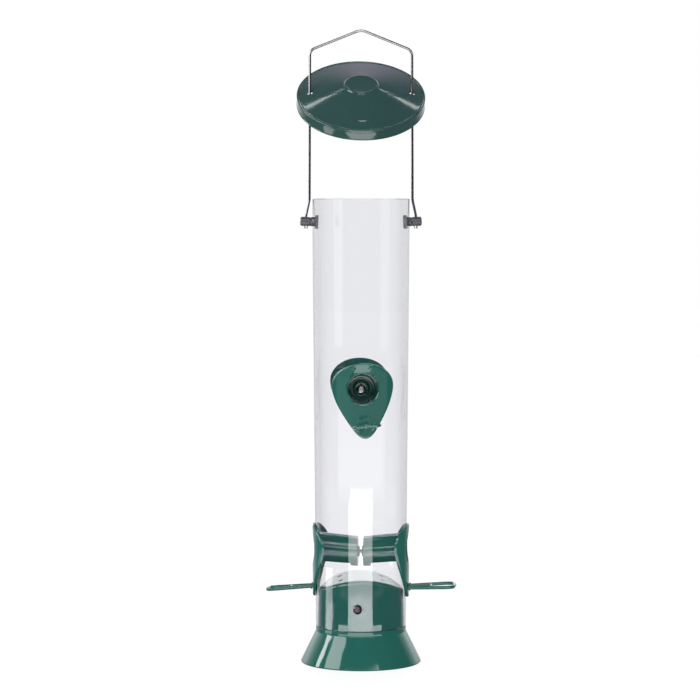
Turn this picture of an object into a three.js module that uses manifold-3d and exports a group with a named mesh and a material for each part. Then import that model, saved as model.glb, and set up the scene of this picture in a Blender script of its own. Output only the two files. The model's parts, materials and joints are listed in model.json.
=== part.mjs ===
// Hanging tube feeder for wild birds: a clear tube on a flared base, two pairs of feeding ports with
// perches, and a lid that slides up a wire bail. Millimetres, +Z up, origin at the middle of the base's
// bottom ring. The front is -Y, where one of the upper ports is.
import * as THREE from 'three';
import { mergeVertices } from 'three/addons/utils/BufferGeometryUtils.js';
import Module from 'manifold-3d';

const wasm = await Module();
wasm.setup();

// ---- driving dimensions ----------------------------------------------------------------------

const gap = 0.3; // left between pieces that touch
const around = 56; // facets round the tube, the base and the lid
const past = 1; // how far a cut runs past the surface it opens
const degree = Math.PI / 180;

// tube: moulded, so it opens out a little towards its top
const tubeLength = 317.7;
const tubeBottomRadius = 33.6;
const tubeTopRadius = 36.1;
const tubeWall = 1.0;
const portHoleClear = 0.4; // hole in the tube beyond the hood

// base: a hollow skirt with a plug that stands up inside the tube
const skirtHeight = 26.8;
const skirtFlare = 11.5; // bottom of the skirt beyond the ledge
const skirtLip = { height: 0.8, bevel: 0.25 }; // rounding of the bottom edge
const ledge = 0.1; // ledge beyond the tube's lower edge
const baseWall = 2.0;
const plugSide = 27.2; // height of the plug's lowest edge above the ledge
const plugCrown = 10.4; // height of the ramp's ridge above that edge
const plugDraft = 0.95; // how much more room the plug leaves the tube at its top
const plugBevel = 2.4; // at the ends of the ridge
const drainRadius = 1.85;
const drainAcross = 15.5;
const drainAlong = 11.0;

// base screws
const baseScrewHeight = 16.9; // above the ledge
const baseScrewTurn = -6.5; // degrees from the front port
const baseScrewHead = { radius: 3.35, height: 2.1 };
const baseScrewShank = { radius: 1.5, length: 6.5 };

// ports
const holeRadius = 11.3;
const holeBevel = 0.8;
const hoodWall = 0.8;
const hoodTaper = 0.9; // how much narrower the hood is at its end wall
const hoodCut = 8.5; // how far below the hole's middle the hood is cut off
const hoodCollar = 4.0; // uncut length just inside the tube
const hoodBand = 5.2; // uncut length at the end wall
const hoodDroop = 2.4; // how much lower the end wall is than the hole
const endWall = 1.6;
const endWallSpace = 4.2; // between the end walls of a pair
const endBoss = { radius: 4.2, height: 1.4 };
const shieldThickness = 1.8;
const shieldAbove = 18.7; // the shield's top above the hole's middle
const shieldBelow = 36.4;
const shieldHalfWidth = 22.6;
const shieldRoot = 0.8; // how far the hood's root stands into the shield
const channelHalfWidth = { top: 7.5, neck: 4.6, bottom: 11.7 };
const channelNeck = 2.6; // below the shield's top
const channelRise = 4.4; // where it starts to narrow, above the hole's middle
const channelDepth = { top: 0.5, bottom: 1.2 };
const lowerPortRise = 20.6; // hole's middle above the ramp's ridge
const portPitch = 121.1; // lower to upper holes
const lowerPairTurn = -6; // degrees off square to the upper pair

// perches
const perchRod = 1.3; // radius
const perchReach = 35.4; // beyond the shield
const perchRoot = 5.2; // half the spacing of its legs at the shield
const perchWidest = 9.2; // half the spacing at four fifths of the reach
const perchBar = { place: 16.6, radius: 1.05 }; // cross-bar, beyond the shield
const perchCollar = { radius: 2.1, length: 1.0 };
const perchAboveTip = 7.6; // above the shield's lower tip

// tie screws and nuts, one set through each pair of ports
const tieHead = { radius: 3.4, height: 2.2 };
const tieShank = 1.3; // radius
const tieNut = { radius: 3.1, height: 2.4 };
const tieEnd = 1.5; // shank beyond the nut

// wire bail and its pivot pegs
const wireRadius = 0.95;
const legClear = 1.8; // leg's middle beyond the tube's top edge
const legSet = 2.8; // leg's outward set between the tube's top and the peg
const pegDrop = 17.0; // peg's middle below the tube's top
const pegRadius = 3.4;
const pegFlange = { radius: 5.1, length: 2.7 };
const pegOuter = 4.2; // beyond the wire
const pegChamfer = 0.7;
const wireEnd = 1.7; // below the peg
const bailShoulder = 109.3; // corner of the leg and the roof, above the tube's top
const bailPeak = 124.6; // corner of the two roof slopes
const bailBend = 5.0; // length of each shoulder's curve along the straight
const bailPeakBend = 5.0;
const legSetBend = 1.4; // at both ends of the outward set
const legSetLow = 2.4; // start of the outward set above the peg
const legSetHigh = 1.6; // end of the outward set below the tube's top

// lid
const lidOverhang = 11.5; // rim's outside beyond the tube's top edge
const lidRim = 7.7; // rim height
const lidRise = 9.6; // of the cone from the rim to the boss
const lidWall = 1.25;
const lidBossRadius = 12.85;
const lidBossHeight = 1.2;
const lidHoleClear = 0.6; // round the guide rings
const lidEdge = { bead: 1.6, shoulder: 0.8, round: 0.4 };
const lidHoleInset = 0.25; // hole's middle inward of the wire
const lidRaised = 77.4; // holes above the tube's top, with the lid pushed up the bail
const lidTilt = 35; // degrees, front edge down
const dimple = { radius: 8.9, place: 29.0, depth: 0.35 };

// guide rings round the bail's legs in the lid's holes
const guideWall = 0.35;
const guideLength = 1.2;

// ---- sizes worked out from them --------------------------------------------------------------

const tubeBottomZ = skirtHeight + gap;
const tubeTopZ = tubeBottomZ + tubeLength;
const ledgeRadius = tubeBottomRadius + ledge;
const skirtRadius = ledgeRadius + skirtFlare;
const plugRadius = tubeBottomRadius - tubeWall - gap;
const plugEdgeZ = skirtHeight + plugSide;
const plugRidgeZ = plugEdgeZ + plugCrown;
const rampRadius = (plugRadius ** 2 + plugCrown ** 2) / (2 * plugCrown);
const baseScrewZ = skirtHeight + baseScrewHeight;
const hoodRadius = holeRadius + hoodWall;
const lowerHoleZ = plugRidgeZ + lowerPortRise;
const upperHoleZ = lowerHoleZ + portPitch;
const legX = tubeTopRadius + legClear;
const pegWireX = legX + legSet;
const pegZ = tubeTopZ - pegDrop;
const lidRadius = tubeTopRadius + lidOverhang;
const lidSlope = lidRise / (lidRadius - lidBossRadius);
const lidHoleX = legX - lidHoleInset;
const lidHoleRadius = wireRadius + gap + guideWall + lidHoleClear;

// outer radius of the tube at a height
function tubeRadius(z) {
  return tubeBottomRadius + (tubeTopRadius - tubeBottomRadius) * (z - tubeBottomZ) / tubeLength;
}

// top surface of the lid's cone above its rim plane, at a radius
function lidTop(radius) {
  return lidRim + (lidRadius - radius) * lidSlope;
}

const lidAxisHeight = lidTop(lidHoleX) - lidWall / 2;

// ---- helpers ---------------------------------------------------------------------------------

// closed geometry to a solid, with shared corners merged and its faces pointing out
function solid(geometry) {
  const bare = geometry.clone();
  bare.deleteAttribute('normal');
  bare.deleteAttribute('uv');
  const merged = mergeVertices(bare, 1e-4);
  const place = merged.attributes.position;
  const corner = (i) => new THREE.Vector3().fromBufferAttribute(place, i);
  const triangles = [];
  let volume = 0;
  for (let i = 0; i < merged.index.count; i += 3) {
    const [a, b, c] = [0, 1, 2].map((k) => merged.index.getX(i + k));
    if (a !== b && b !== c && c !== a) {
      triangles.push([a, b, c]);
      volume += corner(a).dot(corner(b).cross(corner(c)));
    }
  }
  const order = volume > 0 ? triangles : triangles.map(([a, b, c]) => [a, c, b]);
  return new wasm.Manifold(new wasm.Mesh({
    numProp: 3,
    vertProperties: new Float32Array(place.array),
    triVerts: new Uint32Array(order.flat()),
  }));
}

function geometryOf(body) {
  const mesh = body.getMesh();
  const geometry = new THREE.BufferGeometry();
  geometry.setAttribute('position', new THREE.BufferAttribute(mesh.vertProperties, 3));
  geometry.setIndex(new THREE.BufferAttribute(mesh.triVerts, 1));
  geometry.computeVertexNormals();
  return geometry;
}

// body of revolution about Z from [radius, z] points
function revolved(points, segments = around) {
  const profile = points.map(([radius, z]) => new THREE.Vector2(radius, z));
  return solid(new THREE.LatheGeometry(profile, segments).rotateX(90 * degree));
}

// closed ring of revolution: the profile's last point joins its first
function revolvedRing(points, segments = around) {
  return revolved([...points, points[0]], segments);
}

// round rod along Y between two places
function rodY(radius, from, to, segments = 16) {
  const rod = new THREE.CylinderGeometry(radius, radius, to - from, segments);
  return rod.translate(0, (from + to) / 2, 0);
}

// round rod along X between two places
function rodX(radius, from, to, segments = 16) {
  return rodY(radius, from, to, segments).rotateZ(-90 * degree);
}

// round rod along Z between two places
function rodZ(radius, from, to, segments = 16) {
  return rodY(radius, from, to, segments).rotateX(90 * degree);
}

function box(low, high) {
  const size = high.map((value, i) => value - low[i]);
  const middle = high.map((value, i) => (value + low[i]) / 2);
  return new THREE.BoxGeometry(...size).translate(...middle);
}

// outline in X and Z, extruded from the axis towards the front
function towardsFront(shape, depth, curveSegments = 8) {
  const options = { depth, bevelEnabled: false, curveSegments };
  return new THREE.ExtrudeGeometry(shape, options).rotateX(90 * degree);
}

// round rod along a curve
function sweptRod(curve, radius, steps, sides = 8) {
  const section = new THREE.Shape();
  for (let i = 0; i < sides; i++) {
    const turn = (i / sides) * 2 * Math.PI;
    const point = [radius * Math.cos(turn), radius * Math.sin(turn)];
    if (i === 0) {
      section.moveTo(...point);
    } else {
      section.lineTo(...point);
    }
  }
  return solid(new THREE.ExtrudeGeometry(section, { steps, extrudePath: curve, bevelEnabled: false }));
}

const paint = { roughness: 0.22, metalness: 0.0 };
const greenPaint = { color: 0x1f5b4c, ...paint };
const lidPaint = { color: 0x2f4f4b, ...paint };
const clearPlastic = { color: 0xf2f3f6, roughness: 0.08, metalness: 0.0, transparent: true, opacity: 0.25 };
const steel = { color: 0x8a8a8c, roughness: 0.25, metalness: 1.0 };
const darkScrew = { color: 0x3a3338, roughness: 0.35, metalness: 0.9 };
const greyPlastic = { color: 0x4a4a50, roughness: 0.5, metalness: 0.0 };

const feeder = new THREE.Group();

function addNode(parent, name, body, finish) {
  const mesh = new THREE.Mesh(geometryOf(body), new THREE.MeshStandardMaterial(finish));
  mesh.name = name;
  parent.add(mesh);
  return mesh;
}

// ---- sub-parts -------------------------------------------------------------------------------

function tubeBody() {
  let tube = revolvedRing([
    [tubeBottomRadius - tubeWall, tubeBottomZ],
    [tubeBottomRadius, tubeBottomZ],
    [tubeTopRadius, tubeTopZ],
    [tubeTopRadius - tubeWall, tubeTopZ],
  ]);
  const reach = tubeTopRadius * 1.5;
  const portCut = rodY(hoodRadius + portHoleClear, -reach, reach, 32);
  const upperCut = portCut.clone().translate(0, 0, upperHoleZ);
  const lowerCut = portCut.clone().rotateZ((90 + lowerPairTurn) * degree).translate(0, 0, lowerHoleZ);
  const pegCut = rodX(pegRadius + gap, -reach, reach).translate(0, 0, pegZ);
  for (const cut of [upperCut, lowerCut, pegCut, baseScrewCut()]) {
    tube = tube.subtract(solid(cut));
  }
  return tube;
}

// clearance hole for both base screws, right through the tube and the plug
function baseScrewCut() {
  const reach = tubeTopRadius * 1.5;
  const cut = rodY(baseScrewShank.radius + gap, -reach, reach);
  return cut.rotateZ(baseScrewTurn * degree).translate(0, 0, baseScrewZ);
}

// everything under a barrel-shaped ramp whose ridge runs front to back
function underRamp(ridgeZ) {
  const reach = skirtRadius * 1.2;
  const ramp = new THREE.Shape();
  const edge = Math.asin(reach / Math.max(rampRadius, reach + past));
  ramp.moveTo(-reach, -past);
  ramp.lineTo(reach, -past);
  ramp.absarc(0, ridgeZ - rampRadius, rampRadius, 90 * degree - edge, 90 * degree + edge, false);
  return solid(towardsFront(ramp, 2 * reach, 12).translate(0, reach, 0));
}

function baseBody() {
  const topRadius = tubeRadius(plugRidgeZ) - tubeWall - gap - plugDraft;
  const shell = revolved([
    [0, 0],
    [skirtRadius - skirtLip.height, 0],
    [skirtRadius - skirtLip.bevel, skirtLip.bevel],
    [skirtRadius, skirtLip.height],
    [ledgeRadius, skirtHeight],
    [plugRadius, skirtHeight],
    [topRadius, plugRidgeZ - plugBevel],
    [topRadius - plugBevel, plugRidgeZ],
    [0, plugRidgeZ],
  ]);
  const hollow = revolved([
    [0, -past],
    [skirtRadius - baseWall, -past],
    [skirtRadius - baseWall, skirtLip.height],
    [plugRadius - baseWall, skirtHeight - baseWall * 1.5],
    [topRadius - baseWall, plugRidgeZ],
    [0, plugRidgeZ],
  ]);
  let base = shell.intersect(underRamp(plugRidgeZ));
  base = base.subtract(hollow.intersect(underRamp(plugRidgeZ - baseWall)));
  for (const across of [-drainAcross, drainAcross]) {
    for (const along of [-drainAlong, drainAlong]) {
      const drain = rodZ(drainRadius, skirtHeight, plugRidgeZ + past, 12).translate(across, along, 0);
      base = base.subtract(solid(drain));
    }
  }
  return base.subtract(solid(baseScrewCut()));
}

// pan-head screw with a cross recess, its head's underside at y = 0 and its shank running to +Y
function screwBody(head, shankRadius, shankLength) {
  const profile = [
    [0, shankLength],
    [shankRadius * 0.6, shankLength],
    [shankRadius, shankLength - shankRadius * 0.6],
    [shankRadius, 0],
    [head.radius, 0],
    [head.radius, -head.height * 0.45],
    [head.radius * 0.72, -head.height * 0.9],
    [0, -head.height],
  ];
  const points = profile.map(([radius, y]) => new THREE.Vector2(radius, y));
  let screw = solid(new THREE.LatheGeometry(points, 16));
  const arm = head.radius * 0.5;
  const slot = head.radius * 0.12;
  const low = -head.height - past;
  const floor = -head.height * 0.45;
  screw = screw.subtract(solid(box([-arm, low, -slot], [arm, floor, slot])));
  return screw.subtract(solid(box([-slot, low, -arm], [slot, floor, arm])));
}

// teardrop outline of a shield, seen from outside, about the hole's middle
function shieldOutline() {
  const w = shieldHalfWidth;
  const up = shieldAbove;
  const down = -shieldBelow;
  const shape = new THREE.Shape();
  shape.moveTo(0, up);
  shape.bezierCurveTo(-0.57 * w, up, -0.99 * w, 0.63 * up, -w, 0.14 * up);
  shape.bezierCurveTo(-w, 0.21 * down, -0.64 * w, 0.58 * down, -0.37 * w, 0.83 * down);
  shape.bezierCurveTo(-0.25 * w, 0.94 * down, -0.12 * w, down, 0, down);
  shape.bezierCurveTo(0.12 * w, down, 0.25 * w, 0.94 * down, 0.37 * w, 0.83 * down);
  shape.bezierCurveTo(0.64 * w, 0.58 * down, w, 0.21 * down, w, 0.14 * up);
  shape.bezierCurveTo(0.99 * w, 0.63 * up, 0.57 * w, up, 0, up);
  return shape;
}

// channel from the hole up to the shield's top edge, its top at z = 0
function channelOutline() {
  const half = channelHalfWidth;
  const shape = new THREE.Shape();
  shape.moveTo(-half.bottom, -shieldAbove);
  shape.lineTo(half.bottom, -shieldAbove);
  shape.lineTo(half.bottom, channelRise - shieldAbove);
  shape.lineTo(half.neck, -channelNeck);
  shape.lineTo(half.top, past);
  shape.lineTo(-half.top, past);
  shape.lineTo(-half.neck, -channelNeck);
  shape.lineTo(-half.bottom, channelRise - shieldAbove);
  return shape;
}

// where the middle of a perch's root is, below the hole's middle
function perchPlace(roll) {
  const below = shieldBelow - perchAboveTip;
  return [-below * Math.sin(roll * degree), -below * Math.cos(roll * degree)];
}

// one port at the front: shield, hood and end wall, for a hole at holeZ
function portBody({ holeZ, roll, perchRoll, perchLift }) {
  const wallRadius = tubeRadius(holeZ);
  const innerAt = (z) => tubeRadius(z) + gap;
  const outerAt = (z) => innerAt(z) + shieldThickness;
  const low = holeZ - shieldBelow * 1.1;
  const high = holeZ + shieldAbove * 1.1;
  const ring = revolvedRing([
    [innerAt(low), low],
    [outerAt(low), low],
    [outerAt(high), high],
    [innerAt(high), high],
  ]);
  const placed = (geometry) => solid(geometry.rotateY(roll * degree).translate(0, 0, holeZ));
  const reach = wallRadius + shieldThickness * 3;
  const shield = ring.intersect(placed(towardsFront(shieldOutline(), reach, 6)));

  // the hood droops, so its parts are slanted towards the end wall
  const endY = -endWallSpace / 2;
  const droop = -hoodDroop / (wallRadius + endY);
  const slant = new THREE.Matrix4().set(1, 0, 0, 0, 0, 1, 0, 0, 0, droop, 1, droop * wallRadius, 0, 0, 0, 1);
  const slanted = (geometry, turn = roll) => {
    const turned = geometry.rotateY(turn * degree).applyMatrix4(slant);
    return solid(turned.translate(0, 0, holeZ));
  };
  const root = shieldRoot;
  const core = revolved([[0, low], [innerAt(low) + root, low], [innerAt(high) + root, high], [0, high]]);
  const widening = hoodTaper / (wallRadius + endY);
  const tapered = (radius, from, to) => {
    const wide = radius + widening * (-wallRadius - from);
    const narrow = radius + widening * (-wallRadius - to);
    return new THREE.CylinderGeometry(narrow, wide, to - from, 24).translate(0, (from + to) / 2, 0);
  };
  const hood = slanted(tapered(hoodRadius, -reach, endY)).intersect(core);
  const bossEnd = endY + endBoss.height;
  const boss = slanted(rodY(endBoss.radius, endY - endWall / 2, bossEnd, 16));
  let port = shield.add(hood).add(boss);
  const bore = slanted(tapered(holeRadius, -reach - past, endY - endWall));
  const underside = slanted(box(
    [-hoodRadius * 1.2, -wallRadius + tubeWall + hoodCollar, -hoodRadius * 1.3],
    [hoodRadius * 1.2, endY - hoodBand, -hoodCut]));
  const tieHole = slanted(rodY(tieShank + gap, endY - endWall - past, bossEnd + past, 12), 0);
  const face = wallRadius + gap + shieldThickness;
  const cone = new THREE.CylinderGeometry(holeRadius, holeRadius + 2 * holeBevel, 2 * holeBevel, 24);
  const bevel = placed(cone.translate(0, -face, 0));
  const depth = channelDepth;
  const slope = Math.atan((depth.bottom - depth.top) / shieldAbove);
  const channelCut = towardsFront(channelOutline(), shieldThickness * 3, 2).rotateX(slope);
  port = port.subtract(bore).subtract(underside).subtract(tieHole).subtract(bevel);
  port = port.subtract(placed(channelCut.translate(0, -face + depth.top, shieldAbove)));
  const [across, drop] = perchPlace(roll);
  const rootFace = tubeRadius(holeZ + drop) + gap + shieldThickness;
  for (const side of [-1, 1]) {
    const leg = rodY(perchRod + gap, -perchRod * 3, wallRadius / 2, 12).translate(side * perchRoot, 0, 0);
    const turned = leg.rotateY(perchRoll * degree).rotateX(-perchLift * degree);
    port = port.subtract(solid(turned.translate(across, -rootFace, holeZ + drop)));
  }
  return port;
}

// wire-like loop with a cross-bar, its root on the shield's face at y = 0, reaching to -Y
function perchBody(faceRadius, lift) {
  const inset = faceRadius - Math.sqrt(faceRadius ** 2 - perchRoot ** 2);
  const inner = inset + shieldThickness - gap;
  const halfWidthAt = (y) => perchRoot + (perchWidest - perchRoot) * (y / (0.8 * perchReach)) ** 0.8;
  const side = [[perchRoot, inner], [perchRoot, inner * 0.5]];
  for (const share of [0.06, 0.2, 0.35, 0.5, 0.65]) {
    side.push([halfWidthAt(share * perchReach), -share * perchReach]);
  }
  side.push([perchWidest, -0.8 * perchReach]);
  side.push([perchWidest * 0.86, -0.92 * perchReach]);
  side.push([perchWidest * 0.5, -perchReach + perchRod * 1.4]);
  const far = [0, -perchReach + perchRod];
  const mirrored = side.map(([x, y]) => [-x, y]).reverse();
  const points = [...side, far, ...mirrored].map(([x, y]) => new THREE.Vector3(x, y, 0));
  let perch = sweptRod(new THREE.CatmullRomCurve3(points, false, 'centripetal'), perchRod, 24, 7);
  const barHalf = halfWidthAt(perchBar.place);
  const bar = rodX(perchBar.radius, -barHalf, barHalf, 8).translate(0, -perchBar.place, 0);
  perch = perch.add(solid(bar));
  // the collar's end stands off far enough for its lifted rim to clear the shield
  const collarEnd = inset * 0.5 - gap - perchCollar.radius * Math.sin(Math.abs(lift) * degree);
  for (const x of [-perchRoot, perchRoot]) {
    const collar = rodY(perchCollar.radius, collarEnd - perchCollar.length, collarEnd, 12);
    perch = perch.add(solid(collar.translate(x, 0, 0)));
  }
  return perch;
}

// hexagon nut on the Y axis between y = 0 and its height
function nutBody() {
  const nut = solid(rodY(tieNut.radius, 0, tieNut.height, 6));
  return nut.subtract(solid(rodY(tieShank + gap, -past, tieNut.height + past, 12)));
}

// one straight-and-curved path through corner points, with a short curve at each inner corner
function bentPath(corners, bends) {
  const path = new THREE.CurvePath();
  let from = corners[0];
  for (let i = 1; i < corners.length - 1; i++) {
    const corner = corners[i];
    const back = corners[i - 1].clone().sub(corner).setLength(bends[i - 1]).add(corner);
    const ahead = corners[i + 1].clone().sub(corner).setLength(bends[i - 1]).add(corner);
    path.add(new THREE.LineCurve3(from, back));
    path.add(new THREE.QuadraticBezierCurve3(back, corner, ahead));
    from = ahead;
  }
  path.add(new THREE.LineCurve3(from, corners[corners.length - 1]));
  return path;
}

function bailBody() {
  const side = [
    [pegWireX, pegZ - pegRadius - wireEnd],
    [pegWireX, pegZ + pegRadius + legSetLow],
    [legX, tubeTopZ - legSetHigh],
    [legX, tubeTopZ + bailShoulder],
  ];
  const point = ([x, z]) => new THREE.Vector3(x, 0, z);
  const peak = point([0, tubeTopZ + bailPeak]);
  const right = side.map(point);
  const left = side.map(([x, z]) => point([-x, z])).reverse();
  const set = legSetBend;
  const bends = [set, set, bailBend, bailPeakBend, bailBend, set, set];
  return sweptRod(bentPath([...right, peak, ...left], bends), wireRadius, 88);
}

// peg at the right: flange inside the tube, chamfered end outside, cross-hole for the wire
function pegBody() {
  const wallInside = Math.sqrt((tubeRadius(pegZ) - tubeWall) ** 2 - pegFlange.radius ** 2);
  const flangeX = wallInside - gap;
  const endX = pegWireX + pegOuter;
  const profile = [
    [0, flangeX - pegFlange.length],
    [pegFlange.radius, flangeX - pegFlange.length],
    [pegFlange.radius, flangeX],
    [pegRadius, flangeX],
    [pegRadius, endX - pegChamfer],
    [pegRadius - pegChamfer, endX],
    [0, endX],
  ];
  const points = profile.map(([radius, x]) => new THREE.Vector2(radius, x));
  const peg = solid(new THREE.LatheGeometry(points, 20).rotateZ(-90 * degree));
  const wireHole = rodZ(wireRadius + gap, -pegRadius - past, pegRadius + past, 10).translate(pegWireX, 0, 0);
  return peg.subtract(solid(wireHole));
}

// lid about the line through its wire holes: rim down, boss up
function lidBody() {
  const bossTop = lidTop(lidBossRadius) + lidBossHeight;
  const bossEdge = lidBossRadius - lidBossHeight;
  const rimInside = lidRadius - lidWall;
  let lid = revolvedRing([
    [0, bossTop],
    [bossEdge, bossTop],
    [lidBossRadius, lidTop(lidBossRadius)],
    [lidRadius - lidEdge.bead, lidTop(lidRadius - lidEdge.bead)],
    [lidRadius - lidEdge.shoulder, lidRim + lidEdge.round],
    [lidRadius, lidRim - lidEdge.round],
    [lidRadius, lidEdge.round],
    [lidRadius - lidEdge.round, 0],
    [rimInside, 0],
    [rimInside, lidTop(rimInside) - lidWall],
    [bossEdge, lidTop(bossEdge) - lidWall],
    [lidBossRadius - 2 * lidBossHeight, bossTop - lidWall],
    [0, bossTop - lidWall],
  ]);
  for (const x of [-lidHoleX, lidHoleX]) {
    const hole = rodZ(lidHoleRadius, -lidWall * 2, lidWall * 2, 20).translate(x, 0, lidAxisHeight);
    lid = lid.subtract(solid(hole));
  }
  const press = rodZ(dimple.radius, 0, lidWall * 2, 28);
  const lean = Math.atan(lidSlope);
  press.rotateX(lean).translate(0, -dimple.place, lidTop(dimple.place) - dimple.depth);
  lid = lid.subtract(solid(press));
  return lid.translate([0, 0, -lidAxisHeight]);
}

function guideBody() {
  const inside = wireRadius + gap;
  const outside = inside + guideWall;
  const half = guideLength / 2;
  return revolvedRing([[inside, -half], [outside, -half], [outside, half], [inside, half]], 16);
}

// ---- assembly --------------------------------------------------------------------------------

addNode(feeder, 'tube', tubeBody(), clearPlastic);
addNode(feeder, 'base', baseBody(), greenPaint);

for (const [name, turn] of [['front', 0], ['rear', 180]]) {
  const holder = new THREE.Group();
  holder.rotation.z = (baseScrewTurn + turn) * degree;
  holder.position.z = baseScrewZ;
  const screw = screwBody(baseScrewHead, baseScrewShank.radius, baseScrewShank.length);
  const mesh = addNode(holder, `base_screw_${name}`, screw, darkScrew);
  mesh.position.y = -tubeRadius(baseScrewZ) - gap;
  feeder.add(holder);
}

// each port turns a little about its own middle, and each perch turns and lifts a little more
const upper = { holeZ: upperHoleZ };
const lower = { holeZ: lowerHoleZ };
const ports = [
  { name: 'front', azimuth: 0, ...upper, roll: -3.2, perchRoll: -6.5, perchLift: 8 },
  { name: 'rear', azimuth: 180, ...upper, roll: 2.0, perchRoll: 3.0, perchLift: 0 },
  { name: 'right', azimuth: 90 + lowerPairTurn, ...lower, roll: 1.5, perchRoll: -1.5, perchLift: 2.5 },
  { name: 'left', azimuth: 270 + lowerPairTurn, ...lower, roll: 1.5, perchRoll: -3.2, perchLift: -4.5 },
];
for (const port of ports) {
  const holder = new THREE.Group();
  holder.rotation.z = port.azimuth * degree;
  addNode(holder, `port_${port.name}`, portBody(port), greenPaint);
  const [across, drop] = perchPlace(port.roll);
  const rootZ = port.holeZ + drop;
  const faceRadius = tubeRadius(rootZ) + gap + shieldThickness;
  const perch = addNode(holder, `perch_${port.name}`, perchBody(faceRadius, port.perchLift), greenPaint);
  perch.position.set(across, -faceRadius, rootZ);
  perch.rotation.set(-port.perchLift * degree, port.perchRoll * degree, 0);
  feeder.add(holder);
}

// a tie screw runs from inside one port of each pair, through both end walls, to a nut in the other
const wallFace = endWallSpace / 2 + endWall + gap;
const pairs = [
  { name: 'upper', azimuth: 0, z: upperHoleZ - hoodDroop },
  { name: 'lower', azimuth: 90 + lowerPairTurn, z: lowerHoleZ - hoodDroop },
];
for (const pair of pairs) {
  const holder = new THREE.Group();
  holder.rotation.z = pair.azimuth * degree;
  holder.position.z = pair.z;
  const shankLength = 2 * wallFace + tieNut.height + tieEnd;
  const body = screwBody(tieHead, tieShank, shankLength);
  const screw = addNode(holder, `tie_screw_${pair.name}`, body, steel);
  screw.position.y = -wallFace;
  const nut = addNode(holder, `tie_nut_${pair.name}`, nutBody(), steel);
  nut.position.y = wallFace;
  feeder.add(holder);
}

addNode(feeder, 'bail_wire', bailBody(), steel);
for (const [name, turn] of [['right', 0], ['left', 180]]) {
  const peg = addNode(feeder, `pivot_peg_${name}`, pegBody(), greyPlastic);
  peg.rotation.z = turn * degree;
  peg.position.z = pegZ;
}

const lidHolder = new THREE.Group();
lidHolder.position.z = tubeTopZ + lidRaised;
const lid = addNode(lidHolder, 'lid', lidBody(), lidPaint);
lid.rotation.x = lidTilt * degree;
for (const [name, x] of [['right', legX], ['left', -legX]]) {
  addNode(lidHolder, `lid_guide_${name}`, guideBody(), steel).position.x = x;
}
feeder.add(lidHolder);

export default feeder;
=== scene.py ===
"""A hanging tube feeder for wild birds, with its lid pushed up the wire bail and tipped forwards.

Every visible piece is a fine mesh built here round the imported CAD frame. Sizes are in millimetres and
become metres when a mesh is made. The front is -Y and +X is on the right.
"""
import json
import math

import bmesh
import bpy
from mathutils import Matrix, Vector


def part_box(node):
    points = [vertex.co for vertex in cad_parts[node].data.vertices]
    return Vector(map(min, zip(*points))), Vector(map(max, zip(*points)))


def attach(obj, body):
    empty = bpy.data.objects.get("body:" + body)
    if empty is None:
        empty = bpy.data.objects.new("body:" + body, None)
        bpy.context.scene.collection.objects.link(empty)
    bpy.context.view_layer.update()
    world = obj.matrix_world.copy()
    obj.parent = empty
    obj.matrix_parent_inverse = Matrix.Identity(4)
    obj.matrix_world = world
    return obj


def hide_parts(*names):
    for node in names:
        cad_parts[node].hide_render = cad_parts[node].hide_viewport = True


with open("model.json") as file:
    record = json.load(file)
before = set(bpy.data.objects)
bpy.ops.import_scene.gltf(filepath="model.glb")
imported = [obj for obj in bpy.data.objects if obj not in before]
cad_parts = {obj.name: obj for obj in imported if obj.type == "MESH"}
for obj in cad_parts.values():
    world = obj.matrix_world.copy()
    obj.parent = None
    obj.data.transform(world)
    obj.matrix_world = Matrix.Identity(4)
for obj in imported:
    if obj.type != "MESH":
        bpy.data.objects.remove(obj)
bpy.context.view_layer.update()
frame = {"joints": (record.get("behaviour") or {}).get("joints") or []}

MM = 0.001
FINE = 144  # steps round the tube, the base and the lid
SHARP = math.radians(32)  # edges sharper than this keep a crease


# ---- sizes read from the frame ------------------------------------------------------------------

def box_mm(node):
    """A CAD node's lowest and highest corners in millimetres."""
    low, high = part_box(node)
    return low / MM, high / MM


def joint_height(name):
    """How high a joint's axis is, in millimetres."""
    return next(j for j in frame["joints"] if j["name"] == name)["pos_m"][2] / MM


tube_low, tube_high = box_mm("tube")
base_high = box_mm("base")[1]
bail_low, bail_high = box_mm("bail_wire")
peg_low, peg_high = box_mm("pivot_peg_right")
guide_low, guide_high = box_mm("lid_guide_right")

GAP = 0.3
TUBE_BOTTOM_Z = tube_low.z
TUBE_TOP_Z = tube_high.z
TUBE_TOP_R = tube_high.x
TUBE_BOTTOM_R = 33.6
TUBE_WALL = 1.0
PEG_Z = joint_height("bail_swing")
LID_AXIS_Z = joint_height("lid_tilt")
LID_TILT = math.radians(35)
LEG_X = (guide_low.x + guide_high.x) / 2
SKIRT_R = base_high.x
RIDGE_Z = base_high.z
LEDGE_Z = TUBE_BOTTOM_Z - GAP

HOLE_ABOVE_RIDGE = 20.6
PORT_PITCH = 121.1
LOWER_HOLE_Z = RIDGE_Z + HOLE_ABOVE_RIDGE
UPPER_HOLE_Z = LOWER_HOLE_Z + PORT_PITCH
LOWER_TURN = -6  # degrees: the lower pair sits off square to the upper pair
UPPER = {"hole_z": UPPER_HOLE_Z}
LOWER = {"hole_z": LOWER_HOLE_Z}
# each port rolls a little about its own middle, and its perch rolls and lifts a little more, in degrees
PORTS = [
    {"name": "front", "azimuth": 0, **UPPER, "roll": -3.2, "perch_roll": -6.5, "lift": 8},
    {"name": "rear", "azimuth": 180, **UPPER, "roll": 2.0, "perch_roll": 3.0, "lift": 0},
    {"name": "right", "azimuth": 90 + LOWER_TURN, **LOWER, "roll": 1.5, "perch_roll": -1.5, "lift": 2.5},
    {"name": "left", "azimuth": 270 + LOWER_TURN, **LOWER, "roll": 1.5, "perch_roll": -3.2, "lift": -4.5},
]


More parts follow.
